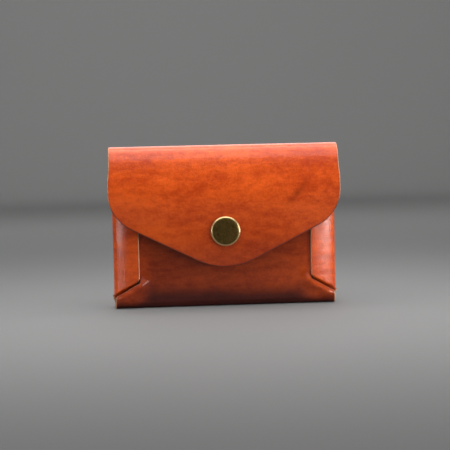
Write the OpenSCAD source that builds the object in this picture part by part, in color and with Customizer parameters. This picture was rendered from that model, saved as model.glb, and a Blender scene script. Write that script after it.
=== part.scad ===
// Flap-over card wallet, cut from one blank of leather, folded, and closed by a press stud.
// X runs across the wallet, +Y points out of its back and +Z towards its top fold.
// The origin is the bottom centre of the bounding box.

/* [Leather] */
// Thickness of the leather
leather_t = 1.6; // [1.2:0.1:2]

/* [Pouch] */
// Width over the two side folds
pouch_w = 95.4; // [92:0.1:104]
// Height of the whole wallet, from the bottom fold to the top fold
wallet_h = 68.7; // [66:0.1:76]
// Clear depth between the back panel and the front panel
cavity_d = 5.6; // [5.4:0.1:7]
// Outer radius of the two bends of the bottom fold
bottom_r = 3.0; // [2.2:0.1:3.4]
// Height of the front panel's top edge
panel_top = 54; // [50:0.5:56]
// Height of the wings' top edges
wing_top = 56.5; // [54:0.5:58]
// Distance between the inner edges of the two wings
wing_gap = 73.1; // [70:0.1:80]
// Width over the bottom fold's two raw ends
bottom_w = 94.2; // [92:0.1:96]
// Width of the back panel's lower corners
corner_w = 97; // [95:0.1:98]
// Width of the front panel's lower corners
lip_w = 93.2; // [92:0.1:95]

/* [Corner slits] */
// Height of a slit where it meets the wing's inner edge
slit_in_z = 12.3; // [10:0.1:13]
// Height of a slit at the side of the pouch
slit_out_z = 5.8; // [5:0.1:6.5]
// Width of a slit
slit_w = 1.6; // [1.4:0.1:1.8]
// Height of the lower edge of the tongue that is tucked behind the front panel
tongue_z = 3.6; // [3.4:0.1:5]

/* [Flap] */
// Widest part of the flap
flap_w = 98.1; // [97:0.1:106]
// Width of the leather over the top fold
fold_w = 96.8; // [95:0.1:97]
// Height of the flap's tip
tip_z = 17.3; // [15:0.1:19]
// Radius of the flap's tip
tip_r = 27; // [24:1:34]
// Radius of the flap's two lower corners
corner_r = 16.5; // [14:0.1:19]
// Slope of the flap's two lower edges, in degrees
flap_slope = 26.5; // [22:0.5:30]
// Gap that the press stud keeps between the front panel and the flap
flap_gap = 3.4; // [3.4:0.1:4]

/* [Press stud] */
// Height of the press stud's axis
snap_z = 32.5; // [30:0.1:34]
// Diameter of the cap
cap_d = 12.6; // [12:0.1:15]
// Height of the cap above the flap
cap_h = 1.5; // [1.4:0.1:2]
// Diameter of the socket's flange
socket_d = 10.8; // [10:0.1:12]
// Diameter of the stud's flange
stud_d = 9.6; // [9:0.1:10.4]
// Diameter of the stud's head
head_d = 5.3; // [5:0.1:5.4]
// Diameter of the socket spring's wire
wire_d = 0.6; // [0.5:0.05:0.6]

/* [Hidden] */
$fn = 96;

// Planes of the leather, measured from the middle of the cavity, with the front at -Y
back_y = cavity_d / 2 + leather_t;
panel_y = -back_y;
wing_y = panel_y - leather_t;
flap_y = panel_y - flap_gap - leather_t;
cap_y = flap_y - cap_h;
frame_y = -(back_y + cap_y) / 2;

// Side folds: half rounds from the back panel's face to the wing's face
side_r = (back_y - wing_y) / 2;
side_x = pouch_w / 2 - side_r;
side_y = (back_y + wing_y) / 2;
panel_half = side_x - 0.2;

// Top fold: a half round from the back panel's face to the flap's face, which bends at four lines
top_r = (back_y - flap_y) / 2;
top_y = (back_y + flap_y) / 2;
top_z = wallet_h - top_r;
bend_lines = 4;
segment_a = 180 / bend_lines;
first_bend_a = segment_a / 2;

// Flap outline
half_flap = flap_w / 2;
edge_a = 90 - flap_slope;
tip_end = [tip_r * cos(edge_a), tip_z + tip_r * (1 - sin(edge_a))];
corner_x = half_flap - corner_r;
corner_end_x = corner_x + corner_r * cos(edge_a);
corner_z = tip_end.y + (corner_end_x - tip_end.x) * tan(flap_slope) + corner_r * sin(edge_a);
flare_z = top_z - 4;
arc_step = 4;

// Slits, and the wings that dive through them at 45 degrees to lie behind the front panel
slit_slope = (slit_in_z - slit_out_z) / (pouch_w / 2 - wing_gap / 2);
slit_a = atan(slit_slope);
slit_half = slit_w / 2 / cos(slit_a);
side_end_z = slit_out_z - 0.7;
dive_v = -slit_w / 2;
tuck_clear = 0.05;
dive = 2 * leather_t + tuck_clear;
bend_k = leather_t * tan(22.5);
dive_t = leather_t * sqrt(2);
dive_clear = tuck_clear * sqrt(2);
far = 60;
on_middle = 0.01;

// Press stud
tube_r = 2.0;
tube_wall = 0.4;
stud_tube_r = 1.8;
fit = 0.02;
socket_base = 0.55;
mouth_gap = 0.15;
stud_flange = 0.5;
neck_r = head_d / 2 - 0.5;
bore_r = head_d / 2 + 0.65;
head_low = 1.55;
head_top = 2.45;
roll_h = 0.3;
wire_z = 1.15;
wire_x = neck_r + wire_d / 2 + 0.05;
wire_l = 8.0;
socket_depth = flap_gap - stud_flange - mouth_gap;

leather_colour = "#b5481c";
panel_colour = "#8a2f14";
brass_colour = "#5a4a24";
steel_colour = "silver";

// Everything is drawn about the middle of the cavity and then moved to the bounding box's centre.
module in_frame() {
    translate([0, frame_y, 0]) children();
}

// A flat panel whose outline is given in X and Z, with its outer or inner face at y and the leather behind it
module panel(points, y) {
    translate([0, y + leather_t, 0]) rotate([90, 0, 0]) linear_extrude(leather_t) polygon(points);
}

// A bend about the X axis, from angle a to angle b, counted from +Y towards +Z
module bend_x(outer_r, width, a, b) {
    rotate([90, 0, 90]) translate([0, 0, -width / 2]) rotate([0, 0, a])
        rotate_extrude(angle = b - a) translate([outer_r - leather_t, 0]) square([leather_t, width]);
}

// Right half of an outline and its mirror image, as one closed outline; a point on the middle line stays single
function both_sides(right) =
    concat(right, [for (i = [len(right) - 1:-1:0]) if (right[i].x > on_middle) [-right[i].x, right[i].y]]);

function arc(centre, r, a, b) =
    let (steps = ceil(abs(b - a) / arc_step))
    [for (i = [0:steps]) centre + r * [cos(a + (b - a) * i / steps), sin(a + (b - a) * i / steps)]];

flap_outline = both_sides(concat(
    [[fold_w / 2, top_z], [half_flap, flare_z]],
    arc([corner_x, corner_z], corner_r, 0, -edge_a),
    arc([0, tip_z + tip_r], tip_r, -edge_a, -90)
));

back_outline = both_sides([
    [fold_w / 2, top_z], [fold_w / 2, wing_top], [side_x, wing_top],
    [side_x, side_end_z], [corner_w / 2, side_end_z], [bottom_w / 2, bottom_r]
]);

front_outline = both_sides([
    [panel_half, panel_top],
    [panel_half, slit_z(panel_half) - slit_half],
    [lip_w / 2, slit_z(lip_w / 2) - slit_half],
    [bottom_w / 2, bottom_r]
]);

wing_outline = [
    [wing_gap / 2, wing_top], [wing_gap / 2, slit_in_z - 2.5], [wing_gap / 2 + 1.5, tongue_z],
    [side_x - 0.6, tongue_z], [side_x, slit_z(side_x)], [side_x, wing_top]
];

// Section of a wing across its slit: down over the front panel, through it and down behind it
wing_profile = [
    [-far, wing_y], [dive_v, wing_y], [dive_v + dive, wing_y + dive], [far, wing_y + dive],
    [far, wing_y + dive + leather_t], [dive_v + dive - bend_k, wing_y + dive + leather_t],
    [dive_v - bend_k, wing_y + leather_t], [-far, wing_y + leather_t]
];

// Section of the slanted slot in the front panel that a wing dives through
slot_profile = [for (p = [[0, 0], [1, 0], [1, 1], [0, 1]])
    let (y = panel_y - 1 + p.y * (leather_t + 2), v = dive_v + y - wing_y)
    [p.x > 0 ? v + dive_clear : v - dive_t - dive_clear, y]];

// Height of the slit's middle line at a distance x from the wallet's middle
function slit_z(x) = slit_out_z + (pouch_w / 2 - x) * slit_slope;

// Axes of the right slit: X downwards across it, Y as the wallet's, Z along it towards the wallet's side
module slit_frame() {
    translate([wing_gap / 2, 0, slit_in_z]) rotate([0, 90 + slit_a, 0])
        linear_extrude(far, center = true) children();
}

module back_panel() {
    color(leather_colour) in_frame() union() {
        panel(back_outline, back_y - leather_t);
        translate([0, top_y, top_z]) bend_x(top_r, fold_w, 0, first_bend_a);
    }
}

module bottom_fold() {
    flat_y = back_y - bottom_r;
    color(leather_colour) in_frame() union() {
        translate([-bottom_w / 2, -flat_y, 0]) cube([bottom_w, 2 * flat_y, leather_t]);
        translate([0, flat_y, bottom_r]) bend_x(bottom_r, bottom_w, -90, 0);
        translate([0, -flat_y, bottom_r]) bend_x(bottom_r, bottom_w, 180, 270);
    }
}

module front_panel() {
    color(panel_colour) in_frame() difference() {
        panel(front_outline, panel_y);
        snap_axis(0) cylinder(r = stud_tube_r + fit, h = far, center = true);
        for (side = [0, 1]) mirror([side, 0, 0]) intersection() {
            slit_frame() polygon(slot_profile);
            translate([wing_gap / 2 - tuck_clear, -far / 2, 0]) cube(far);
        }
    }
}

// The right side fold: a half round whose front quarter ends along the slit
module side_fold() {
    color(leather_colour) in_frame() difference() {
        translate([side_x, side_y, side_end_z]) rotate([0, 0, -90])
            rotate_extrude(angle = 180)
                translate([side_r - leather_t, 0]) square([leather_t, wing_top - side_end_z]);
        translate([0, side_y, 0]) rotate([90, 0, 0]) linear_extrude(side_r + 1)
            polygon([
                [side_x - 1, 0], [side_x + side_r + 1, 0],
                [side_x + side_r + 1, slit_z(side_x + side_r + 1) + slit_half],
                [side_x - 1, slit_z(side_x - 1) + slit_half]
            ]);
    }
}

// The right wing: it lies on the front panel, and its tongue is tucked through the slit behind the panel
module wing() {
    color(leather_colour) in_frame() intersection() {
        slit_frame() polygon(wing_profile);
        translate([0, far / 2, 0]) rotate([90, 0, 0]) linear_extrude(far) polygon(wing_outline);
    }
}

// One rigid stretch of the top fold, between bend line i and the next
module top_fold(i) {
    start_a = first_bend_a + i * segment_a;
    color(leather_colour) in_frame() translate([0, top_y, top_z])
        bend_x(top_r, fold_w, start_a, start_a + segment_a);
}

module flap() {
    color(leather_colour) in_frame() difference() {
        union() {
            panel(flap_outline, flap_y);
            translate([0, top_y, top_z]) mirror([0, 1, 0]) bend_x(top_r, fold_w, 0, first_bend_a);
        }
        snap_axis(0) cylinder(r = tube_r + fit, h = far, center = true);
    }
}

// Puts a piece on the press stud's axis, with its own +Z pointing out of the wallet's front from y
module snap_axis(y) {
    translate([0, y, snap_z]) rotate([90, 0, 0]) children();
}

// Cap shell: a shallow drawn cup whose rim is rolled under the post's plate
module snap_cap() {
    rim = 0.45;
    shell = 0.35;
    r = cap_d / 2;
    color(brass_colour) in_frame() snap_axis(flap_y) rotate_extrude() polygon(concat(
        [[0, cap_h], [r - rim - 0.35, cap_h - 0.06]],
        arc([r - rim, cap_h - rim - 0.1], rim, 80, 0),
        arc([r - rim, rim], rim, 0, -90),
        [[r - rim - 0.45, 0], [r - rim - 0.45, shell], [r - shell, shell],
         [r - shell, cap_h - shell - 0.3], [r - 2 * shell, cap_h - shell - 0.05], [0, cap_h - shell]]
    ));
}

// Cap post: a plate inside the cap and a tube through the flap, rolled over inside the socket
module cap_post() {
    plate_r = cap_d / 2 - 0.4;
    plate_z = 0.37;
    plate_h = 0.4;
    end_z = -leather_t - socket_base;
    color(brass_colour) in_frame() snap_axis(flap_y) rotate_extrude() polygon([
        [tube_r - tube_wall, plate_z + plate_h], [plate_r, plate_z + plate_h], [plate_r, plate_z],
        [plate_r - 1.2, plate_z], [plate_r - 1.2, 0], [tube_r, 0], [tube_r, end_z],
        [tube_r + 0.6, end_z], [tube_r + 0.6, end_z - 0.1], [tube_r + 0.3, end_z - roll_h],
        [tube_r - tube_wall, end_z - roll_h]
    ]);
}

// Socket: a ring on the flap's inner face that grips the stud with its spring
module snap_socket() {
    r = socket_d / 2;
    mouth_z = socket_depth;
    color(brass_colour) in_frame() translate([0, flap_y + leather_t, snap_z]) rotate([-90, 0, 0])
        difference() {
            rotate_extrude() polygon(concat(
                [[tube_r + fit, 0], [r, 0], [r, 0.5]],
                arc([r - 1.3, 1.1], 0.5, 0, 90),
                [[r - 1.5, mouth_z - 0.3]],
                arc([r - 1.8, mouth_z - 0.3], 0.3, 0, 90),
                [[bore_r + 0.25, mouth_z], [bore_r, mouth_z - 0.25],
                 [bore_r, socket_base], [tube_r + fit, socket_base]]
            ));
            for (side = [-1, 1])
                translate([0, side * wire_x, mouth_z - wire_from_mouth()]) rotate([0, 90, 0])
                    cylinder(d = wire_d + 2 * fit, h = wire_l + 0.2, center = true);
        }
}

// Depth of the spring's wires inside the socket's mouth
function wire_from_mouth() = wire_z - stud_flange - mouth_gap;

// Socket spring: two straight wires that slip over the stud's head into its neck
module socket_spring() {
    color(steel_colour) in_frame() for (side = [-1, 1])
        translate([0, panel_y - wire_z, snap_z + side * wire_x]) rotate([0, 90, 0])
            cylinder(d = wire_d, h = wire_l, center = true);
}

// Stud: a flange on the front panel with a necked, rounded head
module snap_stud() {
    r = head_d / 2;
    color(brass_colour) in_frame() snap_axis(panel_y) rotate_extrude() polygon(concat(
        [[stud_tube_r + fit, 0], [stud_d / 2, 0]],
        arc([stud_d / 2 - 0.25, stud_flange - 0.25], 0.25, 0, 90),
        [[neck_r + 0.3, stud_flange], [neck_r, stud_flange + 0.2], [neck_r, head_low - 0.15]],
        [[r - 0.1, head_low]],
        arc([r - 0.4, head_top - 0.4], 0.4, 0, 90),
        [[stud_tube_r + 0.4, head_top], [stud_tube_r + fit, head_top - roll_h]]
    ));
}

// Stud post: a flat head inside the pouch and a tube through the front panel, flared into the stud
module stud_post() {
    head_r = stud_d / 2 - 0.2;
    head_z = -leather_t - 0.5;
    color(brass_colour) in_frame() snap_axis(panel_y) rotate_extrude() polygon([
        [stud_tube_r - 0.35, head_z], [head_r - 0.2, head_z], [head_r, head_z + 0.2], [head_r, -leather_t],
        [stud_tube_r, -leather_t], [stud_tube_r, head_top - roll_h],
        [stud_tube_r + 0.3, head_top - 0.02], [stud_tube_r - 0.05, head_top - 0.02],
        [stud_tube_r - 0.35, head_top - roll_h]
    ]);
}

back_panel();
bottom_fold();
front_panel();
mirror([1, 0, 0]) side_fold();  // left_side_fold
side_fold();  // right_side_fold
mirror([1, 0, 0]) wing();  // left_wing
wing();  // right_wing
top_fold(0);  // top_fold_back
top_fold(1);  // top_fold_crown
top_fold(2);  // top_fold_front
flap();
snap_cap();
cap_post();
snap_socket();
socket_spring();
snap_stud();
stud_post();
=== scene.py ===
"""Looks of a leather snap card wallet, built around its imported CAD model.

The wallet is one leather blank, folded and closed by a press stud. Every leather piece is drawn flat, in
the blank's own coordinates, and then folded: u runs across the blank, and s along it, from the flap's tip
over the back to the front panel's top. Lengths are in millimetres unless a name or a comment says otherwise.
"""

import math

import bpy
import numpy as np
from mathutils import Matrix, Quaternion, Vector
from mathutils.kdtree import KDTree


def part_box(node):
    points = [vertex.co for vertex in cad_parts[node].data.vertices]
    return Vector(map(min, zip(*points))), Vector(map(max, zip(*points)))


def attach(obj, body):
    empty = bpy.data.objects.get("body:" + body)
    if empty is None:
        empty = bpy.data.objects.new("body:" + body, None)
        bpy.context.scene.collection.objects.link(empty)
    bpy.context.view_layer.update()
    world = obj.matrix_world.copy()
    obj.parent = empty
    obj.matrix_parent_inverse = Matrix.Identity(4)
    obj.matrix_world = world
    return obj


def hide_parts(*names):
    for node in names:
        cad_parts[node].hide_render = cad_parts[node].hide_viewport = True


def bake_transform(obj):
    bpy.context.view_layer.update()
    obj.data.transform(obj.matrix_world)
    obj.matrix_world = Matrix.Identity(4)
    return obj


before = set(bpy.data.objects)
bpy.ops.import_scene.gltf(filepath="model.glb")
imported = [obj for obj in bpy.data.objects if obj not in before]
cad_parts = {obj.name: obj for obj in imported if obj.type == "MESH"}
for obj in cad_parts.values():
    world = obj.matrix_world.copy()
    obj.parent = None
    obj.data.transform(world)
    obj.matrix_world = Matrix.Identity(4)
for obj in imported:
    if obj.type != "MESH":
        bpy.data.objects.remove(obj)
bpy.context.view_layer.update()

MM = 0.001  # metres in a millimetre
UV_MM = 100  # millimetres of the blank in one unit of the UV map
TINY = 1e-6  # allows for rounding where two values should be equal
WELD_DIGITS = 3  # vertices of a blank whose coordinates agree to this many digits are one
QUARTER = math.pi / 2
GRAIN, FLESH, CUT = 0, 1, 2  # material indices of a leather piece


def span(node):
    """Lowest and highest corner of a CAD node, in millimetres."""
    low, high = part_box(node)
    return np.array(low) / MM, np.array(high) / MM


def ease(t):
    """0 below 0, 1 above 1, and a smooth step between."""
    t = np.clip(t, 0.0, 1.0)
    return t * t * (3 - 2 * t)


# ---------------------------------------------------------------- sizes, from the frame

panel_low, panel_high = span("front_panel")
wing_low, wing_high = span("right_wing")
side_low, side_high = span("right_side_fold")
flap_low, flap_high = span("flap")
crown_high = span("top_fold_crown")[1]
bottom_high = span("bottom_fold")[1]
cap_low, cap_high = span("snap_cap")

THICK = panel_high[1] - panel_low[1]
PANEL_Y, PANEL_TOP = panel_low[1], panel_high[2]
WING_Y, WING_X, WING_TOP = wing_low[1], wing_low[0], wing_high[2]
SIDE_X, SIDE_MAX, BACK_Y = side_low[0], side_high[0], side_high[1]
FLAP_Y, FLAP_HALF, TIP_Z = flap_low[1], flap_high[0], flap_low[2]
HEIGHT, FOLD_HALF = crown_high[2], crown_high[0]
BOTTOM_HALF, BOTTOM_R = bottom_high[0], bottom_high[2]
TOP_R = (BACK_Y - FLAP_Y) / 2
TOP_Y, TOP_Z = (BACK_Y + FLAP_Y) / 2, HEIGHT - TOP_R
SIDE_R = SIDE_MAX - SIDE_X
SNAP_Z = (cap_low[2] + cap_high[2]) / 2
CAP_R = (cap_high[0] - cap_low[0]) / 2

# Shapes of the CAD model that its boxes don't give
TIP_R, CORNER_R, FLAP_SLOPE = 27.0, 16.5, math.radians(26.5)
SLIT_IN_Z, SLIT_OUT_Z = 12.3, 5.8
TONGUE_Z = 3.6

# ---------------------------------------------------------------- details of the worked leather

# Edges
INSET = 0.4  # how far an edge's rounding reaches in from the cut
RIM_STEPS = 8
EDGE_POWER = 0.6  # 1 would round a cut edge like an ellipse, and less makes it boxier
MITRE_LIMIT = 0.6  # keeps a rim from reaching far out at a sharp corner
SEAM_CLOSE = 0.001  # how near to a seam's line an edge counts as part of it
SKIVED = 0.45  # share of the leather's thickness that is pared off a tongue
SKIVE_FROM, SKIVE_OVER = -2.4, 1.9  # where the paring starts, across the slit, and over what width

# Flap and top fold
FLARE_H = 9.0  # height over which the flap widens below the top fold
FLAP_BULGE = 0.9  # how far the leather springs out between the press stud and the top fold
BULGE_PAST = 5.0  # how far past the fold line the bulge runs out
FOLD_DIP = 0.35  # how much flatter than a half round the top fold's front shoulder is
DIP_PAST, DIP_W = 2.5, 3.0  # where that is, past the fold line, and its width
TIP_LEAN = 0.6  # how far the flap's tip leans back in below the press stud
CORNER_BOW = 0.9  # how far the flap's lower corners lean in to the wings
BOW_U, BOW_U_OVER = 22.0, 28.0  # where that starts, across the flap, and over what width
BOW_DOWN, BOW_DOWN_OVER = 6.0, 24.0  # where it starts, below the fold line, and over what height
DIMPLE, DIMPLE_R = 0.15, 8.0  # hollow that the press stud pulls into the flap

# Slow waves of the leather, and the distances over which they grow from nothing beside a fold
WAVE = 0.12
WAVE_GROWTH, BACK_LOW_GROWTH, PANEL_GROWTH = 12.0, 10.0, 8.0
PANEL_WAVE_Z = 4.0  # height where they start on the front panel
STUD_CALM = 60.0  # square of the radius round the stud within which the front panel stays flat

# Wings, slits and tongues
DIVE = 3.25  # how far a wing sinks through its slit
DIVE_FROM, DIVE_OVER = -0.4, 2.2  # where it starts, across the slit, and over what width
FACING_GAIN = 1.15  # counts a wing as facing front a little before it does
LIP_V, SLOT_V = 0.85, -0.65  # lower and upper edge of the slot, across the slit
SLOT_COVER = 0.25  # how far the slot's end lies under the wing's inner edge
TONGUE_SLANT = 1.3  # how far a tongue's inner edge slants away below the slit
TONGUE_MARGIN = 1.0  # what a tongue's edge may reach past the start of the bottom bend
LIP_BULGE, BULGE_V, BULGE_W = 1.7, 2.6, 2.4  # swelling of the front panel over the tucked tongue
LIP_U, LIP_U_OVER = 31.5, 5.5  # where the swelling starts, across the panel, and over what width
LIP_END_U, LIP_END_OVER, LIP_END_LOSS = 43.5, 3.0, 0.35  # where it shrinks again, and what it loses
LIP_Z, LIP_Z_OVER = 0.5, 4.5  # height where it starts, and over what height
WING_TURN = math.radians(63)  # turn of the tight bend between a wallet's side and its wing
WING_LEAN = math.radians(4)  # what a wing still leans outwards at its inner edge
WING_CORNER = 2.6
CUT_TOP_Z = WING_TOP + 0.35  # relief cut between the top fold's shoulders and the side folds
CUT_LOW_Z = 4.9  # relief cut between a side fold and the back panel's lower corner
CUT_HALF = 0.2
TAB_HALF, TAB_BOTTOM_HALF = 48.5, 47.7  # half widths of the back panel's lower corners, top and bottom
FRONT_LOW_HALF, LIP_HALF = BOTTOM_HALF - 0.2, 46.6  # half widths of the front panel's, bottom and top

# Darkness of the cut edges, from 0 (pale) to 1 (dark): painted shade on the flap's lower rim and in the
# slits, a light burnish on the wings
RIM_SHADE_Z, RIM_SHADE_FADE = 48.0, 7.0  # the flap's cut edge is pale above this height, and below it, where it faces down, darkened as painted shade
# The slits' cut edges are darkened as painted shade; the wings' edges get only a light burnish
WING_BURNISH, SLIT_SHADE = 0.05, 0.9
SLIT_SHADE_HALF = TAB_BOTTOM_HALF - 1.5  # beyond this, a lower corner's edge is left pale

# Painted shade and a natural mark in the hide, from 0 (russet) to 1 (darkest)
PANEL_SHADE, PANEL_FADE = 0.66, 6.0  # painted shade on the front panel, under the flap; it comes in over the bottom fold
BOTTOM_DARK_Z, BOTTOM_DARK_H = 11.5, 8.5  # below this height the front panel darkens to 1, painted shade towards the bottom fold
PANEL_SHADE_SKEW, SKEW_Z, SKEW_H = 0.13, 2.0, 6.0  # painted shade gained towards the panel's left side, away from the stronger light, and lost towards its right
CORNER_SHADE_LIFT, LIFT_U, LIFT_U_OVER, LIFT_H = 0.55, 30.0, 12.0, 5.0  # share of the painted shade lifted where the panel swells over the tucked tongues and catches light
# The left wing is darkened as painted shade, on the side away from the stronger light
LEFT_WING_SHADE, WING_FADE = 0.26, 6.0
TIP_SHADE, TIP_FADE = 0.50, 41.0  # painted shade towards the flap's tip
MARK_TONE, MARK_U, MARK_S = 0.4, 31.0, 31.0  # natural mark in the hide, at the flap's upper right
MARK_TURN, MARK_LENGTH, MARK_WIDTH = math.radians(50), 6.0, 1.2


# ---------------------------------------------------------------- fold lines

class Fold:
    """A section line of straight runs and round bends. Its normal is on its left.

    A run is given by its length and by how far it turns, in radians.
    """

    def __init__(self, start, heading, runs):
        self.runs = []
        point, at = np.array(start, float), 0.0
        for length, turn in runs:
            self.runs.append((at, point, heading, turn / length))
            point = point + self.step(heading, turn / length, np.array([length]))[0]
            heading += turn
            at += length
        self.length = at

    @staticmethod
    def step(heading, bend, along):
        """Steps from a run's start to the points this far along it."""
        if bend == 0:
            return along[:, None] * [math.cos(heading), math.sin(heading)]
        angle = heading + bend * along
        over, up = np.sin(angle) - math.sin(heading), math.cos(heading) - np.cos(angle)
        return np.column_stack([over, up]) / bend

    def follow(self, distance):
        """Points on the line and its normals, at these distances from its start."""
        points, normals = np.zeros((len(distance), 2)), np.zeros((len(distance), 2))
        for number, (at, point, heading, bend) in enumerate(self.runs):
            here = distance >= at if number else np.ones(len(distance), bool)
            along = distance[here] - at
            angle = heading + bend * along
            points[here] = point + self.step(heading, bend, along)
            normals[here] = np.column_stack([-np.sin(angle), np.cos(angle)])
        return points, normals


# The blank's section line, on its grain side: up the flap, over the top fold, down the back, round the
# bottom and up the front
BOTTOM_FLAT = BACK_Y - PANEL_Y - 2 * BOTTOM_R
MAIN = Fold((FLAP_Y, TIP_Z), QUARTER, [
    (TOP_Z - TIP_Z, 0), (math.pi * TOP_R, -math.pi),
    (TOP_Z - BOTTOM_R, 0), (QUARTER * BOTTOM_R, -QUARTER),
    (BOTTOM_FLAT, 0), (QUARTER * BOTTOM_R, -QUARTER),
    (PANEL_TOP - BOTTOM_R, 0),
])

# Where the top fold, the back, the bottom fold and the front start along the blank
S_FOLD = TOP_Z - TIP_Z
S_BACK = S_FOLD + math.pi * TOP_R
S_BOTTOM = S_BACK + TOP_Z - BOTTOM_R
S_FRONT = S_BOTTOM + math.pi * BOTTOM_R + BOTTOM_FLAT

# Section line from the back round a side to a wing. The wing's two bends, a tight one and a slack one, are
# sized so that it ends at its inner edge, on the front panel.
WING_SLACK = QUARTER - WING_LEAN - WING_TURN
BEND_REACH = [
    [1 - math.cos(WING_TURN), math.cos(WING_TURN) - math.sin(WING_LEAN)],
    [math.sin(WING_TURN), math.cos(WING_LEAN) - math.sin(WING_TURN)],
]
WING_R, WING_FLAT_R = np.linalg.solve(BEND_REACH, [SIDE_MAX - WING_X, BACK_Y - SIDE_R - WING_Y])
SIDE = Fold((SIDE_X, BACK_Y), 0.0, [
    (QUARTER * SIDE_R, -QUARTER),
    (WING_TURN * WING_R, -WING_TURN),
    (WING_SLACK * WING_FLAT_R, -WING_SLACK),
])

# Where the side fold, the tight bend and the wing end across the blank
U_SIDE = SIDE_X + QUARTER * SIDE_R
U_TIGHT = U_SIDE + WING_TURN * WING_R
U_WING = SIDE_X + SIDE.length

SLIT_SLOPE = (SLIT_IN_Z - SLIT_OUT_Z) / (SIDE_MAX - WING_X)
SLIT_COS = math.cos(math.atan(SLIT_SLOPE))


def back_s(z):
    """Where a height on the back panel lies along the blank."""
    return S_BACK + TOP_Z - z


def front_s(z):
    """Where a height on the front panel lies along the blank."""
    return S_FRONT + z - BOTTOM_R


def slit_z(x):
    """Height of the slit's middle line at a distance x from the wallet's middle."""
    return SLIT_IN_Z - SLIT_SLOPE * (x - WING_X)


def below_slit(x, z):
    """Distance below the slit's middle line, across the slit."""
    return (slit_z(x) - z) * SLIT_COS


def past_slit(x, v):
    """Height of the line that runs v below the slit's middle line."""
    return slit_z(x) - v / SLIT_COS


# ---------------------------------------------------------------- folding the blank

def waves(u, s):
    """Slow waves of worked leather, about 100 and 50 mm long and from -1 to 1 high."""
    slow = np.sin(u / 16 + 0.8) * np.sin(s / 12 + 0.4)
    quick = np.sin(u / 8.3 + 2.1) * np.sin(s / 7.1 + 1.3)
    return (slow + 0.6 * quick) / 1.6


def flap_relief(u, s):
    """The flap leans back in at its tip and lower corners, and its press stud pulls a hollow into it."""
    z = TIP_Z + s
    loose = ease((S_FOLD - s) / WAVE_GROWTH)
    lean = TIP_LEAN * np.clip((SNAP_Z - z) / (SNAP_Z - TIP_Z), 0, 1) ** 2
    bow_u = ease((abs(u) - BOW_U) / BOW_U_OVER)
    bow = CORNER_BOW * bow_u * ease((TOP_Z - BOW_DOWN - z) / BOW_DOWN_OVER)
    dimple = DIMPLE * np.exp(-(u ** 2 + (z - SNAP_Z) ** 2) / DIMPLE_R ** 2)
    return loose * (WAVE * waves(u, s) - bow) - lean - dimple


def back_relief(u, s):
    """The back only dips in, because it may not pass the plane it rests on."""
    loose = ease((s - S_BACK) / WAVE_GROWTH) * ease((S_BOTTOM - s) / BACK_LOW_GROWTH)
    return loose * WAVE * (waves(u, s) - 1)


def front_relief(u, s):
    """The front panel swells over the tucked tongues, sags under the wings and lies flat at the stud."""
    x, z = abs(u), BOTTOM_R + s - S_FRONT
    v = below_slit(x, z)
    end_loss = LIP_END_LOSS * ease((x - LIP_END_U) / LIP_END_OVER)
    near = ease((x - LIP_U) / LIP_U_OVER) * (1 - end_loss) * ease((z - LIP_Z) / LIP_Z_OVER)
    bulge = LIP_BULGE * near * np.exp(-((v - BULGE_V) / BULGE_W) ** 2)
    inner_r = WING_FLAT_R - THICK
    across = inner_r * math.sin(WING_LEAN) + np.clip(x - WING_X, 0, inner_r / 2)
    wing_sag = inner_r * math.cos(WING_LEAN) - np.sqrt(inner_r ** 2 - across ** 2)
    under_wing = np.where(v < 0, wing_sag, 0)
    off_stud = 1 - np.exp(-(u ** 2 + (z - SNAP_Z) ** 2) / STUD_CALM)
    loose = ease((z - PANEL_WAVE_Z) / PANEL_GROWTH)
    return WAVE * waves(u, s) * loose * off_stud + bulge - under_wing


def relief(u, s):
    """How far the grain side stands out from the plain folded blank."""
    rise = np.clip((TIP_Z + s - SNAP_Z) / (TOP_Z + BULGE_PAST - SNAP_Z), 0, 1)
    dip = FOLD_DIP * np.exp(-((s - S_FOLD - DIP_PAST) / DIP_W) ** 2)
    height = FLAP_BULGE * np.sin(math.pi * rise) ** 2 - dip
    height = height + np.where(s < S_FOLD, flap_relief(u, s), 0)
    height = np.where((s > S_BACK) & (s < S_BOTTOM), back_relief(u, s), height)
    return np.where(s > S_FRONT - BOTTOM_R, front_relief(u, s), height)


def turns_side(u, s):
    """True where the blank turns round the wallet's side, between the two relief cuts."""
    z = TOP_Z + S_BACK - s
    past_tab = abs(u) > (TAB_HALF + U_SIDE) / 2
    beside_back = (abs(u) > SIDE_X) & (s > S_BACK) & (s < S_BOTTOM + TONGUE_MARGIN)
    return beside_back & (z < CUT_TOP_Z) & ((z > CUT_LOW_Z) | past_tab)


def dive_share(x, z, facing):
    """How far a point of a wing has sunk through its slit, from 0 to 1."""
    return facing * ease((below_slit(x, z) - DIVE_FROM) / DIVE_OVER)


def side_line(u):
    """The section line of a side fold and its wing, at u.

    Returns the distance from the wallet's middle, the depth, the normal and how far it faces front, 0 to 1.
    """
    line, normal = SIDE.follow(abs(u) - SIDE_X)
    return line[:, 0], line[:, 1], normal, ease(-FACING_GAIN * normal[:, 1])


def form(flat):
    """Points of the grain side where the blank's points (u, s) lie on the folded wallet."""
    u, s = flat[:, 0], flat[:, 1]
    height = relief(u, s)
    line, normal = MAIN.follow(s)
    points = np.column_stack([u, line + normal * height[:, None]])
    side = turns_side(u, s)
    if side.any():
        x, y, normal, facing = side_line(u[side])
        z = line[side, 1]
        points[side, 0] = np.sign(u[side]) * (x + normal[:, 0] * height[side])
        points[side, 1] = y + normal[:, 1] * height[side] + DIVE * dive_share(x, z, facing)
        points[side, 2] = z
    return points


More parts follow.
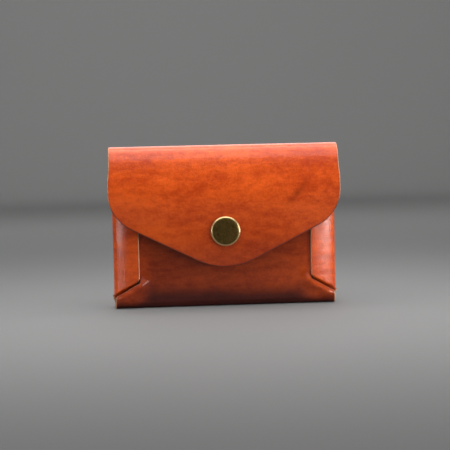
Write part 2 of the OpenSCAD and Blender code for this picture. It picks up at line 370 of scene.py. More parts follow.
def thickness(flat):
    """Thickness of the leather: full, and pared thin on the tongues."""
    u, s = flat[:, 0], flat[:, 1]
    thick = np.full(len(u), THICK)
    side = turns_side(u, s)
    if side.any():
        x, _, _, facing = side_line(u[side])
        v = below_slit(x, TOP_Z + S_BACK - s[side])
        thick[side] *= 1 - SKIVED * facing * ease((v - SKIVE_FROM) / SKIVE_OVER)
    return thick


def grain_normals(flat):
    """Outward normals of the grain side, from small steps on the blank."""
    step = 0.01
    across = form(flat + [step, 0]) - form(flat - [step, 0])
    along = form(flat + [0, step]) - form(flat - [0, step])
    normals = np.cross(across, along)
    return normals / np.linalg.norm(normals, axis=1)[:, None]


# ---------------------------------------------------------------- leather pieces

class Blank:
    """Quads drawn on the flat blank. Patches weld where their points meet."""

    def __init__(self):
        self.points, self.quads, self.known = [], [], {}

    def vertex(self, u, s):
        """Number of the vertex at u, s, which is made if it isn't there yet."""
        key = (round(float(u), WELD_DIGITS), round(float(s), WELD_DIGITS))
        if key not in self.known:
            self.known[key] = len(self.points)
            self.points.append((float(u), float(s)))
        return self.known[key]

    def patch(self, us, ss):
        """A grid whose rows run across the blank; us and ss are its points, s growing from row to row."""
        us, ss = np.broadcast_arrays(np.asarray(us, float), np.asarray(ss, float))
        rows = [[self.vertex(u, s) for u, s in zip(*row)] for row in zip(us, ss)]
        for low, high in zip(rows, rows[1:]):
            for i in range(len(low) - 1):
                self.quads.append((low[i], low[i + 1], high[i + 1], high[i]))

    def both_sides(self, us, ss):
        """The same grid on the right and, mirrored, on the left."""
        us, ss = np.broadcast_arrays(np.asarray(us, float), np.asarray(ss, float))
        self.patch(us, ss)
        self.patch(-us[:, ::-1], ss[:, ::-1])


def free_edges(quads):
    """Directed edges that only one quad uses, as a dictionary from each vertex to the next."""
    used = {(q[i], q[(i + 1) % 4]) for q in quads for i in range(4)}
    return {a: b for a, b in used if (b, a) not in used}


def rim_directions(points, following, before, seam):
    """Outward direction on the blank at each vertex of a cut edge; seam(a, b) tells a seam from a cut."""
    directions = {}
    for vertex in following:
        normals = []
        for a, b in ((before[vertex], vertex), (vertex, following[vertex])):
            if not seam(a, b):
                run = points[b] - points[a]
                normals.append(np.array([run[1], -run[0]]) / np.linalg.norm(run))
        if normals:
            total = sum(normals)
            directions[vertex] = total / max(MITRE_LIMIT, total @ normals[0])
    return directions


def rim_faces(following, before, chains, seam, count):
    """Faces and material indices that close the leather along its free edges.

    A chain is the row of vertices that rounds the edge at one vertex, from the grain side to the flesh side.
    """
    faces, kinds = [], []
    for a, b in following.items():
        if seam(a, b):
            faces.append((b, a, a + count, b + count))
            kinds.append(CUT)
            continue
        for i in range(RIM_STEPS):
            faces.append((chains[b][i], chains[a][i], chains[a][i + 1], chains[b][i + 1]))
            kinds.append(FLESH if i == RIM_STEPS - 1 else CUT)
        if seam(b, following[b]):
            faces.append(tuple(chains[b]))
            kinds.append(CUT)
        if seam(before[a], a):
            faces.append(tuple(reversed(chains[a])))
            kinds.append(CUT)
    return faces, kinds


def closed_leather(blank, seams):
    """The blank folded and given its thickness and rounded cut edges; it stays square along its seams.

    Returns every vertex on the blank and in space, the faces with their material indices, the points of the
    cut edges and the vertices of the seams.
    """
    points = np.array(blank.points)
    count = len(points)
    following = free_edges(blank.quads)
    before = {b: a for a, b in following.items()}

    def seam(a, b):
        return any(abs(points[a][1] - s) < SEAM_CLOSE and abs(points[b][1] - s) < SEAM_CLOSE for s in seams)

    directions = rim_directions(points, following, before, seam)
    flats, depths, chains = [points, points], [np.zeros(count), np.ones(count)], {}
    total = 2 * count
    turn = math.pi * np.arange(1, RIM_STEPS) / RIM_STEPS
    reach = INSET * np.sin(turn) ** EDGE_POWER
    for vertex, direction in directions.items():
        flats.append(points[vertex] + reach[:, None] * direction)
        depths.append((1 - np.cos(turn)) / 2)
        chains[vertex] = [vertex, *range(total, total + RIM_STEPS - 1), vertex + count]
        total += RIM_STEPS - 1
    flats, depths = np.concatenate(flats), np.concatenate(depths)
    places = form(flats) - grain_normals(flats) * (depths * thickness(flats))[:, None]

    flesh = [tuple(i + count for i in reversed(q)) for q in blank.quads]
    faces, kinds = rim_faces(following, before, chains, seam, count)
    faces = list(blank.quads) + flesh + faces
    kinds = [GRAIN] * len(blank.quads) + [FLESH] * len(flesh) + kinds
    seam_vertices = [v for a, b in following.items() if seam(a, b) for v in (a, b)]
    return flats, places, faces, kinds, points[list(directions)], seam_vertices


def edge_distances(flats, cut_points):
    """Distance on the blank from each vertex to the nearest cut edge, in millimetres."""
    tree = KDTree(len(cut_points))
    for number, (u, s) in enumerate(cut_points):
        tree.insert((u, s, 0), number)
    tree.balance()
    return np.array([tree.find((u, s, 0))[2] for u, s in flats])


def hide_mark(u, s):
    """A thin slanting mark, 1 along its middle and 0 away from it."""
    aside, up = u - MARK_U, s - MARK_S
    along = aside * math.cos(MARK_TURN) + up * math.sin(MARK_TURN)
    across = up * math.cos(MARK_TURN) - aside * math.sin(MARK_TURN)
    return np.exp(-(along / MARK_LENGTH) ** 2 - (across / MARK_WIDTH) ** 2)


def shade_and_mark_tone(flats):
    """How much darker than russet the grain is coloured.

    Most of it is painted shade: deep on the front panel under the flap, more so on its left, deepest towards
    the bottom fold, and lifted over the tucked tongues. The left wing and the flap's tip are painted a
    little darker as shade too. The mark on the flap is the hide's own.
    """
    u, s = flats[:, 0], flats[:, 1]
    z = BOTTOM_R + s - S_FRONT
    panel = PANEL_SHADE + (1 - PANEL_SHADE) * ease((BOTTOM_DARK_Z - z) / BOTTOM_DARK_H)
    panel -= PANEL_SHADE_SKEW * u / BOTTOM_HALF * ease((z - SKEW_Z) / SKEW_H)
    panel *= 1 - CORNER_SHADE_LIFT * ease((abs(u) - LIFT_U) / LIFT_U_OVER) * ease(z / LIFT_H)
    panel *= ease((s - S_BOTTOM) / PANEL_FADE)
    on_left_wing = (u < -U_SIDE) & (s > S_BACK) & (s < S_BOTTOM)
    wing = np.where(on_left_wing, LEFT_WING_SHADE * ease((-U_SIDE - u) / WING_FADE), 0)
    return panel + TIP_SHADE * ease(1 - s / TIP_FADE) + MARK_TONE * hide_mark(u, s) + wing


def rim_burnish_and_shade(flats):
    """How dark a cut edge is: painted shade, fully so along the flap's lower rim and less in the slits, and
    a light burnish on the wings.
    """
    u, s = flats[:, 0], flats[:, 1]
    rim_dark = np.where(s < S_FOLD, ease((RIM_SHADE_Z - TIP_Z - s) / RIM_SHADE_FADE), 0)
    rim_dark = np.where((s > S_BACK) & (s < S_BOTTOM) & (abs(u) > U_SIDE), WING_BURNISH, rim_dark)
    in_slit = (s > S_FRONT) & (s < S_FRONT + SLIT_IN_Z) & (abs(u) < SLIT_SHADE_HALF)
    return np.where(in_slit, SLIT_SHADE, rim_dark)


def point_attribute(mesh, name, values):
    """A value at each vertex, for the materials to read."""
    mesh.attributes.new(name, "FLOAT", "POINT").data.foreach_set("value", np.asarray(values, np.float32))


def leather_piece(name, blank, seams):
    """A mesh object of folded leather, with the blank's coordinates as its UV map."""
    flats, places, faces, kinds, cut_points, seam_vertices = closed_leather(blank, seams)
    mesh = bpy.data.meshes.new(name)
    mesh.from_pydata((places * MM).tolist(), [], faces)
    mesh.polygons.foreach_set("material_index", kinds)
    mesh.polygons.foreach_set("use_smooth", [True] * len(faces))
    corners = np.zeros(len(mesh.loops), int)
    mesh.loops.foreach_get("vertex_index", corners)
    mesh.uv_layers.new(name="blank").data.foreach_set("uv", (flats[corners] / UV_MM).ravel())
    point_attribute(mesh, "edge_mm", edge_distances(flats, cut_points))
    point_attribute(mesh, "shade_and_mark_tone", shade_and_mark_tone(flats))
    point_attribute(mesh, "rim_burnish_and_shade", rim_burnish_and_shade(flats))
    mesh.update()
    if seam_vertices:
        normals = np.array([v.vector for v in mesh.vertex_normals])
        seam_normals = grain_normals(flats[seam_vertices])
        normals[seam_vertices] = seam_normals
        normals[np.array(seam_vertices) + len(blank.points)] = -seam_normals
        mesh.normals_split_custom_set_from_vertices(normals.tolist())
    for material in (leather_grain, leather_flesh, leather_cut):
        mesh.materials.append(material)
    piece = bpy.data.objects.new(name, mesh)
    bpy.context.scene.collection.objects.link(piece)
    return piece


def steps(start, end, size):
    """Evenly spaced values from start to end, at most size apart."""
    return np.linspace(start, end, max(2, math.ceil(abs(end - start) / size) + 1))


def joined(*runs):
    """Runs of values end to end, without the points that they share."""
    return np.concatenate([runs[0], *[run[1:] for run in runs[1:]]])


# Columns of the leather's grid, from the middle out: between the slots, beside them, out to the shoulders
SLOT_U = WING_X + SLOT_COVER - INSET
MID_U = SIDE_X - INSET
CENTRE = joined(steps(-MID_U, -SLOT_U, 0.6), steps(-SLOT_U, SLOT_U, 1.2), steps(SLOT_U, MID_U, 0.6))
SHOULDER = steps(MID_U, FOLD_HALF - INSET, 0.8)


def flap_outline():
    """Right half of the flap's lower outline, from its tip to its corner, inset for the rounded edge."""
    edge_a = QUARTER - FLAP_SLOPE
    corner_x = FLAP_HALF - CORNER_R
    tip_z = TIP_Z + TIP_R
    tip_end_z = tip_z - TIP_R * math.sin(edge_a)
    run = corner_x + CORNER_R * math.cos(edge_a) - TIP_R * math.cos(edge_a)
    corner_z = tip_end_z + run * math.tan(FLAP_SLOPE) + CORNER_R * math.sin(edge_a)
    tip_turn, corner_turn = steps(QUARTER, edge_a, 0.04), steps(edge_a, 0, 0.06)
    tip = (TIP_R - INSET) * np.column_stack([np.cos(tip_turn), -np.sin(tip_turn)]) + [0, tip_z]
    corner = (CORNER_R - INSET) * np.column_stack([np.cos(corner_turn), -np.sin(corner_turn)])
    corner += [corner_x, corner_z]
    slope = np.linspace(tip[-1], corner[0], 16)
    return np.concatenate([tip, slope[1:], corner[1:]])


def make_flap():
    """The flap, in columns from its lower outline straight up to the top fold."""
    blank = Blank()
    right = flap_outline()
    outline = np.concatenate([right[:0:-1] * [-1, 1], right])
    share = np.linspace(0, 1, 64)[:, None]
    z = outline[:, 1] + share * (TOP_Z - outline[:, 1])
    narrow = (FLAP_HALF - FOLD_HALF) * ease((z - TOP_Z + FLARE_H) / FLARE_H)
    half = FLAP_HALF - INSET
    blank.patch(outline[:, 0] * (half - narrow) / half, z - TIP_Z)
    piece = leather_piece("flap_leather", blank, [S_FOLD])
    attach(piece, "flap")
    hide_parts("flap")


def make_top_fold():
    """The top fold in four strips, cut at equal steps round its arc."""
    bodies = ["flap", "fold_front", "fold_crown", "fold_back", "pouch"]
    replaced = ["top_fold_front", "top_fold_crown", "top_fold_back"]
    columns = joined(-SHOULDER[::-1], CENTRE, SHOULDER)
    strips = len(bodies) - 1
    for number in range(strips):
        ends = [S_FOLD + (number + k) * (S_BACK - S_FOLD) / strips for k in (0, 1)]
        blank = Blank()
        blank.patch(columns[None, :], steps(*ends, 0.22)[:, None])
        piece = leather_piece(f"top_fold_strip_{number + 1}", blank, ends)
        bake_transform(piece)
        if number < len(replaced):
            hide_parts(replaced[number])


def lower_half_width(s):
    """Half width of the blank, from the back panel's lower corners round the bottom to the front's lip."""
    places = [back_s(CUT_LOW_Z), S_BOTTOM, S_FRONT, front_s(SLIT_OUT_Z)]
    return np.interp(s, places, [TAB_HALF, TAB_BOTTOM_HALF, FRONT_LOW_HALF, LIP_HALF]) - INSET


def back_rows(blank):
    """The back panel with its shoulders, side folds, wings and lower corners."""
    top_low = CUT_TOP_Z + CUT_HALF + INSET
    side_top = CUT_TOP_Z - CUT_HALF - INSET
    side_low = CUT_LOW_Z + CUT_HALF + INSET
    tab_top = CUT_LOW_Z - CUT_HALF - INSET
    shoulder_s = back_s(steps(TOP_Z, top_low, 1.0))[:, None]
    blank.patch(CENTRE[None, :], shoulder_s)
    blank.both_sides(SHOULDER[None, :], shoulder_s)
    blank.patch(CENTRE[None, :], back_s(steps(top_low, side_top, 0.7))[:, None])

    slits_top = 20  # the rows are close together below this height, where the wings sink through the slits
    down = joined(steps(side_top, slits_top, 1.1), steps(slits_top, side_low, 0.2))
    share = (down - side_low) / (side_top - side_low)
    blank.patch(CENTRE[None, :], back_s(down)[:, None])
    edge_u = U_WING - INSET
    corner_u = edge_u - WING_CORNER * (1 - np.cos(steps(QUARTER, 0, 0.2)))
    wing_u = joined(steps(MID_U, edge_u - WING_CORNER, 0.42), corner_u)
    past_corner = (wing_u - edge_u + WING_CORNER).clip(0)
    corner = WING_CORNER - np.sqrt(np.clip(WING_CORNER ** 2 - past_corner ** 2, 0, None))
    tongue_low = TONGUE_Z + INSET
    low = side_low + (tongue_low - side_low) * ease((wing_u - U_SIDE) / (U_TIGHT - U_SIDE))
    z = low + share[:, None] * (side_top - corner - low)
    tuck = ease((below_slit(WING_X, z) - DIVE_FROM) / DIVE_OVER)
    slant = TONGUE_SLANT * tuck * ease((wing_u - U_TIGHT) / (edge_u - U_TIGHT))
    blank.both_sides(wing_u - slant, back_s(z))

    blank.patch(CENTRE[None, :], back_s(steps(side_low, tab_top, 0.4))[:, None])
    return back_s(steps(tab_top, BOTTOM_R, 0.5))


def front_rows(blank, tab_s):
    """The lower corners, the bottom fold and the front panel with its two slots."""
    bend = QUARTER * BOTTOM_R
    bottom_s = joined(
        tab_s, steps(S_BOTTOM, S_BOTTOM + bend, 0.3), steps(S_BOTTOM + bend, S_FRONT - bend, 0.7),
        steps(S_FRONT - bend, S_FRONT, 0.3),
    )[:, None]
    tab_share = np.linspace(0, 1, 9)
    tab_u = MID_U + tab_share * (lower_half_width(bottom_s) - MID_U)
    blank.patch(CENTRE[None, :], bottom_s)
    blank.both_sides(tab_u, bottom_s)

    middle = CENTRE[abs(CENTRE) <= SLOT_U + TINY]
    beside = CENTRE[CENTRE >= SLOT_U - TINY]
    lip_share = np.linspace(0, 1, 22)[:, None]
    lip_z = past_slit(SLOT_U, LIP_V + INSET)
    slot_z = past_slit(SLOT_U, SLOT_V - INSET)
    blank.patch(middle[None, :], front_s(BOTTOM_R + lip_share * (lip_z - BOTTOM_R)))
    corner_s = S_FRONT + lip_share * (past_slit(LIP_HALF, LIP_V + INSET) - BOTTOM_R)
    corner_u = MID_U + tab_share * (lower_half_width(corner_s) - MID_U)
    for columns in (beside[None, :], corner_u):
        height = past_slit(columns, LIP_V + INSET) - BOTTOM_R
        blank.both_sides(columns, front_s(BOTTOM_R + lip_share * height))
    blank.patch(middle[None, :], front_s(steps(lip_z, slot_z, 0.4))[:, None])
    close_share = 0.2  # share of the way up, from the slots, over which the rows are close together
    up_share = joined(np.linspace(0, close_share, 20), np.linspace(close_share, 1, 30))[:, None]
    top = PANEL_TOP - INSET
    blank.patch(middle[None, :], front_s(slot_z + up_share * (top - slot_z)))
    slot_line = past_slit(beside, SLOT_V - INSET)
    blank.both_sides(beside[None, :], front_s(slot_line + up_share * (top - slot_line)))


def make_pouch():
    """The back, the side folds with their wings, the bottom and the front panel, as one piece."""
    blank = Blank()
    front_rows(blank, back_rows(blank))
    piece = leather_piece("pouch_leather", blank, [S_BACK])
    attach(piece, "pouch")
    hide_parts("back_panel", "bottom_fold", "front_panel")
    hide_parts("left_side_fold", "right_side_fold", "left_wing", "right_wing")


# ---------------------------------------------------------------- press stud

def arc_points(centre_r, centre_h, radius, start, end, count):
    """Points of a round stretch of a lathe profile, angles in degrees from the radial direction."""
    angles = np.radians(np.linspace(start, end, count))
    return [(centre_r + radius * math.cos(a), centre_h + radius * math.sin(a)) for a in angles]


def lathe(name, profile, place, around=120):
    """A solid turned about the press stud's axis; place(radius, height, angle) gives a point of it.

    The profile gives radius and height out of the wallet's front, from one end of the axis to the other.
    """
    rings = [p for p in profile if p[0] > 0]
    angles = np.linspace(0, 2 * math.pi, around, endpoint=False)
    points = [place(0, profile[0][1], 0)]
    for radius, height in rings:
        points += [place(radius, height, a) for a in angles]
    points.append(place(0, profile[-1][1], 0))

    def at(row, i):
        return 1 + row * around + i % around

    first, last, end_row = 0, len(points) - 1, len(rings) - 1
    faces = [(first, at(0, i), at(0, i + 1)) for i in range(around)]
    for row in range(end_row):
        faces += [(at(row, i), at(row + 1, i), at(row + 1, i + 1), at(row, i + 1)) for i in range(around)]
    faces += [(last, at(end_row, i + 1), at(end_row, i)) for i in range(around)]
    mesh = bpy.data.meshes.new(name)
    mesh.from_pydata((np.array(points) * MM).tolist(), [], faces)
    mesh.polygons.foreach_set("use_smooth", [True] * len(faces))
    mesh.set_sharp_from_angle(angle=math.radians(45))
    point_attribute(mesh, "radius_mm", [0] + [radius for radius, _ in rings for _ in angles] + [0])
    piece = bpy.data.objects.new(name, mesh)
    bpy.context.scene.collection.objects.link(piece)
    return piece


def cap_point(radius, height, angle):
    """A point of the cap, turned about the press stud's axis."""
    return (radius * math.cos(angle), FLAP_Y - height, SNAP_Z + radius * math.sin(angle))


def make_cap():
    """The cap: a drawn shell with a slightly domed face, a round shoulder and a rolled rim."""
    cap_h = FLAP_Y - cap_low[1]
    dome, sheet = 0.1, 0.35  # what the face's edge lies lower, and the shell's thickness
    shoulder = 0.8  # its radius
    roll_r, roll_h = 0.35, 0.25  # radius of the rolled rim and height of its middle above the flap
    rim_in = CAP_R - 0.9  # where the rolled rim ends, under the cap
    face_r = CAP_R - shoulder - 0.1
    edge_h = cap_h - dome
    step_r, step_h = 0.06, 0.045  # fine step between the face and the shoulder

    # Outside: the face, the step, the shoulder and the rolled rim
    profile = [(r, cap_h - dome * (r / face_r) ** 2) for r in np.linspace(0, face_r, 12)]
    profile.append((face_r + step_r, edge_h - step_h))
    profile += arc_points(CAP_R - shoulder, edge_h - shoulder, shoulder, 86, 0, 12)
    profile += arc_points(CAP_R - roll_r, roll_h, roll_r, 0, -90, 7)
    # Inside, from the rim back to the axis
    profile += [(rim_in, roll_h - roll_r), (rim_in, 0.3), (CAP_R - sheet, 0.33), (CAP_R - sheet, 0.8)]
    profile += [(CAP_R - 0.7, 1.0), (CAP_R - 1.2, edge_h - 0.3), (0, cap_h - sheet)]
    piece = lathe("stud_cap", profile, cap_point)
    piece.data.materials.append(brass("antique_brass_cap", face_r))
    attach(piece, "flap")
    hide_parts("snap_cap")


def finish_stud_nodes():
    """Node materials for the press stud's CAD parts, which keep their shapes."""
    finishes = dict.fromkeys(("cap_post", "snap_socket", "snap_stud", "stud_post"), hidden_brass)
    finishes["socket_spring"] = spring_steel
    for node, material in finishes.items():
        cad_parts[node].data.materials.clear()
        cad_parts[node].data.materials.append(material)


# ---------------------------------------------------------------- materials

class Shader:
    """A material's node tree, with a short way to add and join nodes."""

    def __init__(self, name):
        self.material = bpy.data.materials.new(name)
        self.material.use_nodes = True
        self.tree = self.material.node_tree
        self.surface = self.tree.nodes["Principled BSDF"]

    def add(self, kind, inputs=(), **settings):
        """A new node with these settings; its inputs are values or sockets."""
        node = self.tree.nodes.new(kind)
        for key, value in settings.items():
            setattr(node, key, value)
        for key, value in dict(inputs).items():
            self.put(node.inputs[key], value)
        return node

    def put(self, socket, value):
        if isinstance(value, bpy.types.NodeSocket):
            self.tree.links.new(value, socket)
        else:
            socket.default_value = value

    def set(self, **values):
        """Values or sockets for the surface; Base_Color stands for Base Color."""
        for key, value in values.items():
            self.put(self.surface.inputs[key.replace("_", " ")], value)

    def blank_uv(self, scale=(1, 1, 1), turn=0.0):
        """The blank's coordinates, 1 unit in 100 mm, stretched and turned."""
        uv = self.add("ShaderNodeUVMap", uv_map="blank").outputs["UV"]
        mapping = self.add("ShaderNodeMapping", {"Vector": uv, "Scale": scale, "Rotation": (0, 0, turn)})
        return mapping.outputs["Vector"]

    def object_point(self, scale=1000.0):
        """Object coordinates, in millimetres or, with a scale of 1, in metres."""
        point = self.add("ShaderNodeTexCoord").outputs["Object"]
        return self.add("ShaderNodeMapping", {"Vector": point, "Scale": (scale,) * 3}).outputs["Vector"]

    def noise(self, vector, scale, detail=3.0, roughness=0.5, distortion=0.0):
        inputs = {"Vector": vector, "Scale": scale, "Detail": detail, "Roughness": roughness}
        return self.add("ShaderNodeTexNoise", inputs | {"Distortion": distortion}).outputs["Fac"]

    def cells(self, vector, scale):
        """Distance to the nearest of many scattered points."""
        inputs = {"Vector": vector, "Scale": scale, "Randomness": 1.0}
        return self.add("ShaderNodeTexVoronoi", inputs, feature="F1").outputs["Distance"]

    def attribute(self, name):
        return self.add("ShaderNodeAttribute", attribute_name=name).outputs["Fac"]

    def range(self, value, from_low, from_high, to_low=0.0, to_high=1.0):
        """The value's range from_low to from_high, eased onto to_low to to_high."""
        inputs = {"Value": value, "From Min": from_low, "From Max": from_high}
        inputs |= {"To Min": to_low, "To Max": to_high}
        node = self.add("ShaderNodeMapRange", inputs, clamp=True, interpolation_type="SMOOTHSTEP")
        return node.outputs["Result"]

    def math(self, operation, a, b=0.0):
        return self.add("ShaderNodeMath", {0: a, 1: b}, operation=operation).outputs[0]

    def weighed(self, *parts):
        """Sum of sockets, each with its weight."""
        total = None
        for socket, weight in parts:
            term = self.math("MULTIPLY", socket, weight)
            total = term if total is None else self.math("ADD", total, term)
        return total

    def mix(self, share, a, b):
        """Colour a where share is 0, and b where it is 1."""
        factor, colour_a, colour_b, result = 0, 6, 7, 2  # the sockets that a colour mix uses
        inputs = {factor: share, colour_a: a, colour_b: b}
        return self.add("ShaderNodeMix", inputs, data_type="RGBA").outputs[result]

    def bump(self, height, distance_m, strength):
        """Relief for the surface and for its coat."""
        node = self.add("ShaderNodeBump", {"Height": height, "Distance": distance_m, "Strength": strength})
        self.set(Normal=node.outputs["Normal"], Coat_Normal=node.outputs["Normal"])


def rgb(red, green, blue):
    return (red, green, blue, 1.0)


def make_grain():
    """Waxed vegetable-tanned grain side: russet with soft clouds, faint streaks and fine pores."""
    m = Shader("russet_grain")
    uv = m.blank_uv()
    clouds = m.noise(uv, 3.0, 3, 0.5, 0.3)
    streaks = m.noise(m.blank_uv((3.5, 15, 1), 0.04), 1.5, 4, 0.55, 0.4)
    mottle = m.noise(m.blank_uv((1, 1.6, 1)), 24, 5, 0.6, 0.2)
    specks = m.noise(uv, 95, 3, 0.7)
    pores = m.cells(uv, 170)

    tone = m.weighed((clouds, 0.30), (streaks, 0.26), (mottle, 0.26), (specks, 0.18))
    shade = m.range(tone, 0.36, 0.64)
    russet = m.mix(shade, rgb(0.42, 0.037, 0.0035), rgb(0.80, 0.112, 0.011))
    # the dark colour that painted shade, and the hide's mark, take the grain towards
    painted_dark = m.mix(shade, rgb(0.032, 0.0024, 0.0005), rgb(0.055, 0.0045, 0.0008))
    colour = m.mix(m.attribute("shade_and_mark_tone"), russet, painted_dark)
    beside_edge = m.range(m.attribute("edge_mm"), 0.1, 0.9, 0.3, 0.0)
    colour = m.mix(beside_edge, colour, rgb(0.24, 0.02, 0.004))

    rough = m.math("ADD", m.range(mottle, 0.3, 0.7, 0.28, 0.34), m.range(specks, 0.5, 0.8, 0, 0.05))
    m.set(Base_Color=colour, Roughness=rough, Specular_IOR_Level=0.05)
    m.set(Coat_Weight=1.0, Coat_Roughness=0.13, Coat_IOR=1.42)
    m.bump(m.weighed((specks, 0.5), (m.range(pores, 0.0, 0.55), 0.35), (mottle, 1.0)), 0.0001, 0.8)
    return m.material


def make_flesh():
    """Flesh side: a tan nap of short fibres."""
    m = Shader("tan_flesh_side")
    uv = m.blank_uv()
    nap = m.noise(m.blank_uv((1, 2.4, 1), 0.6), 55, 6, 0.75, 1.0)
    clouds = m.noise(uv, 5, 4, 0.6, 0.4)
    fibres = m.noise(m.blank_uv((1, 7, 1), 0.9), 60, 4, 0.7, 2.0)
    colour = m.mix(m.range(nap, 0.35, 0.68), rgb(0.28, 0.12, 0.05), rgb(0.48, 0.26, 0.13))
    colour = m.mix(m.range(clouds, 0.4, 0.75, 0, 0.5), colour, rgb(0.34, 0.13, 0.05))
    m.set(Base_Color=colour, Roughness=0.92, Specular_IOR_Level=0.2, Sheen_Weight=0.25, Sheen_Roughness=0.5)
    m.bump(m.math("ADD", nap, m.math("MULTIPLY", fibres, 0.6)), 0.00025, 0.8)
    return m.material


def make_cut():
    """Cut edge: pale layered fibres with some dye in them, dark where it is burnished and where shade is
    painted on it.
    """
    m = Shader("pale_cut_edge")
    point = m.object_point()
    fibres = m.noise(point, 1.9, 5, 0.7, 1.2)
    stain = m.noise(point, 0.22, 3, 0.6, 0.3)
    colour = m.mix(m.range(fibres, 0.3, 0.7), rgb(0.42, 0.16, 0.075), rgb(0.68, 0.36, 0.20))
    colour = m.mix(m.range(stain, 0.45, 0.7, 0.0, 0.4), colour, rgb(0.55, 0.14, 0.04))
    # painted shade on the flap's lower rim and in the slits, and a light burnish on the wings
    colour = m.mix(m.attribute("rim_burnish_and_shade"), colour, rgb(0.13, 0.022, 0.006))
    m.set(Base_Color=colour, Roughness=0.6, Specular_IOR_Level=0.4)
    m.bump(fibres, 0.00015, 0.7)
    return m.material


def brass(name, face_r=None):
    """Antiqued brass: dark olive patina, rubbed bright at the rim when the face's radius is given."""
    m = Shader(name)
    point = m.object_point()
    patina = m.noise(point, 0.8, 5, 0.65, 0.8)
    grime = m.noise(point, 3.5, 4, 0.7, 0.3)
    dark = m.mix(m.range(patina, 0.3, 0.7), rgb(0.080, 0.050, 0.014), rgb(0.16, 0.105, 0.030))
    dark = m.mix(m.range(grime, 0.5, 0.75, 0, 0.5), dark, rgb(0.045, 0.035, 0.018))
    if face_r is None:
        rubbed = m.range(patina, 0.45, 0.75, 0.1, 0.6)
    else:
        radius = m.math("ADD", m.attribute("radius_mm"), m.range(grime, 0.3, 0.7, -0.08, 0.08))
        rubbed = m.range(radius, face_r + 0.05, face_r + 0.45)
    colour = m.mix(rubbed, dark, rgb(0.62, 0.47, 0.22))
    rough = m.math("ADD", m.range(grime, 0.3, 0.7, 0.26, 0.42), m.range(rubbed, 0, 1, 0.04, 0.0))
    m.set(Base_Color=colour, Roughness=rough, Metallic=1.0)
    m.bump(grime, 0.00003, 0.5)
    return m.material


def make_steel():
    """Drawn spring wire: grey steel with faint marks."""
    m = Shader("drawn_spring_steel")
    point = m.object_point()
    marks = m.noise(point, 6.0, 3, 0.6)
    colour = m.mix(m.range(marks, 0.3, 0.7), rgb(0.42, 0.42, 0.42), rgb(0.60, 0.60, 0.59))
    m.set(Base_Color=colour, Roughness=m.range(marks, 0.3, 0.7, 0.25, 0.38), Metallic=1.0)
    return m.material


def make_floor_material():
    """Pale paper, greyer close to the wallet so that it doesn't throw its light back onto the leather."""
    m = Shader("pale_floor")
    point = m.object_point(1.0)
    cloud = m.noise(point, 3.0, 2, 0.5)
    distance = m.add("ShaderNodeVectorMath", {0: point}, operation="LENGTH").outputs["Value"]
    near = m.mix(m.range(cloud, 0.3, 0.7), rgb(0.185, 0.185, 0.185), rgb(0.20, 0.20, 0.199))
    m.set(Base_Color=m.mix(m.range(distance, 0.2, 0.9), near, rgb(0.6, 0.6, 0.595)), Roughness=0.85)
    return m.material


# ---------------------------------------------------------------- stage

def make_floor():
    """A round pale floor whose rim rises into a wall, alike from every side. In metres."""
    flat_r, bend_r, wall_h, around = 1.1, 0.5, 1.5, 96
    profile = [(r, 0.0) for r in (0.2, 0.6, flat_r)]
    bend = np.linspace(0.1, QUARTER, 14)
    profile += [(flat_r + bend_r * math.sin(a), bend_r * (1 - math.cos(a))) for a in bend]
    profile.append((flat_r + bend_r, wall_h))
    angles = np.linspace(0, 2 * math.pi, around, endpoint=False)
    points = [(0, 0, 0)] + [(r * math.cos(a), r * math.sin(a), h) for r, h in profile for a in angles]
    faces = [(0, 1 + i, 1 + (i + 1) % around) for i in range(around)]
    for row in range(len(profile) - 1):
        low, high = 1 + row * around, 1 + (row + 1) * around
        for i in range(around):
            beyond = (i + 1) % around
            faces.append((low + i, high + i, high + beyond, low + beyond))
    mesh = bpy.data.meshes.new("floor")
    mesh.from_pydata(points, [], faces)
    mesh.polygons.foreach_set("use_smooth", [True] * len(faces))
    mesh.materials.append(make_floor_material())
    floor = bpy.data.objects.new("floor", mesh)
    bpy.context.scene.collection.objects.link(floor)


def softbox(name, place, aim, width, height, watts, spread=180):
    """A soft rectangular lamp at place, facing aim, with a spread in degrees. Its lengths are in metres."""
    light = bpy.data.lights.new(name, "AREA")
    light.shape = "RECTANGLE"
    light.size, light.size_y = width, height
    light.energy = watts
    light.spread = math.radians(spread)
    lamp = bpy.data.objects.new(name, light)
    lamp.location = place
    lamp.rotation_euler = (Vector(aim) - Vector(place)).to_track_quat("-Z", "Y").to_euler()
    lamp.visible_camera = False
    bpy.context.scene.collection.objects.link(lamp)


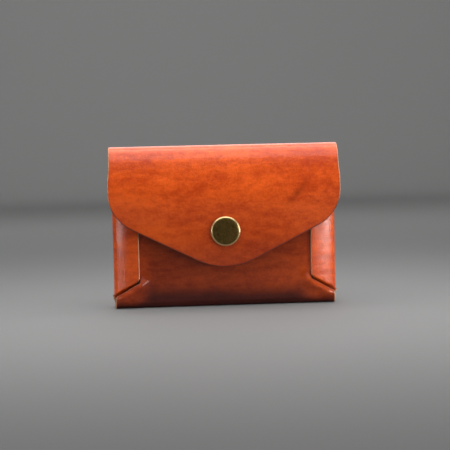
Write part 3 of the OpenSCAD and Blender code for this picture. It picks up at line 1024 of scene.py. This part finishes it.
def make_lights():
    """Plain soft studio light, in metres and watts.

    There are lamps above the flap and behind the back, one at each side, low strips that graze the wings,
    and lamps that light the wall all round.
    """
    middle, upper_flap = (0, 0, 0.034), (0, 0, 0.06)
    right_wing, left_wing = (0.04, 0, 0.025), (-0.04, 0, 0.025)
    softbox("above", (0, -0.03, 0.30), (0, -0.03, 0), 0.5, 0.2, 1.1)
    softbox("above_near", (0, -0.08, 0.15), upper_flap, 0.26, 0.05, 0.115)
    softbox("above_fold", (0, 0.03, 0.15), (0, -0.01, 0), 0.3, 0.06, 0.085)
    softbox("front_high", (0, -0.30, 0.19), upper_flap, 0.4, 0.12, 0.033, 100)
    softbox("right", (0.483, -0.129, 0.14), middle, 0.2, 0.26, 0.155, 90)
    softbox("left", (-0.483, -0.129, 0.14), middle, 0.2, 0.26, 0.03, 90)
    softbox("low_right_inner", (0.240, -0.320, 0.035), right_wing, 0.12, 0.07, 0.0225, 60)
    softbox("low_right_outer", (0.324, -0.235, 0.035), right_wing, 0.09, 0.07, 0.046, 60)
    softbox("low_left", (-0.315, -0.246, 0.035), left_wing, 0.07, 0.07, 0.0200, 60)
    softbox("behind", (0, 0.4, 0.35), middle, 0.6, 0.3, 1.0)
    lamp_r, lamp_z, wall_r, wall_z = 0.8, 0.9, 1.6, 0.35
    sides = (("back", 0, 1, 2.4), ("left", -1, 0, 1.2), ("right", 1, 0, 1.2), ("front", 0, -1, 1.0))
    for name, x, y, watts in sides:
        place, aim = (lamp_r * x, lamp_r * y, lamp_z), (wall_r * x, wall_r * y, wall_z)
        softbox("wall_" + name, place, aim, 1.0, 0.4, watts)
    world = bpy.data.worlds.new("studio")
    world.use_nodes = True
    world.node_tree.nodes["Background"].inputs["Color"].default_value = (0.9, 0.92, 0.95, 1)
    world.node_tree.nodes["Background"].inputs["Strength"].default_value = 0.03
    bpy.context.scene.world = world
    bpy.context.scene.view_settings.view_transform = "Standard"


def make_camera():
    """A long lens, a little to the wallet's left and above it, and rolled a little."""
    azimuth, elevation, roll = math.radians(-3.7), math.radians(4.7), math.radians(1.3)
    view_width = 191.6  # what the picture spans at the wallet
    data = bpy.data.cameras.new("camera")
    data.lens, data.sensor_width = 100, 36
    aim = Vector((0.25, 0, HEIGHT / 2 + 0.2)) * MM
    level = math.cos(elevation)
    away = Vector((math.sin(azimuth) * level, -math.cos(azimuth) * level, math.sin(elevation)))
    camera = bpy.data.objects.new("camera", data)
    camera.location = aim + away * (view_width * data.lens / data.sensor_width * MM)
    upright = (-away).to_track_quat("-Z", "Y")
    camera.rotation_euler = (upright @ Quaternion((0, 0, 1), -roll)).to_euler()
    bpy.context.scene.collection.objects.link(camera)
    bpy.context.scene.camera = camera


# ---------------------------------------------------------------- the model

leather_grain, leather_flesh, leather_cut = make_grain(), make_flesh(), make_cut()
hidden_brass, spring_steel = brass("antique_brass"), make_steel()

make_camera()
make_pouch()
make_top_fold()
make_flap()
make_cap()
finish_stud_nodes()
make_floor()
make_lights()
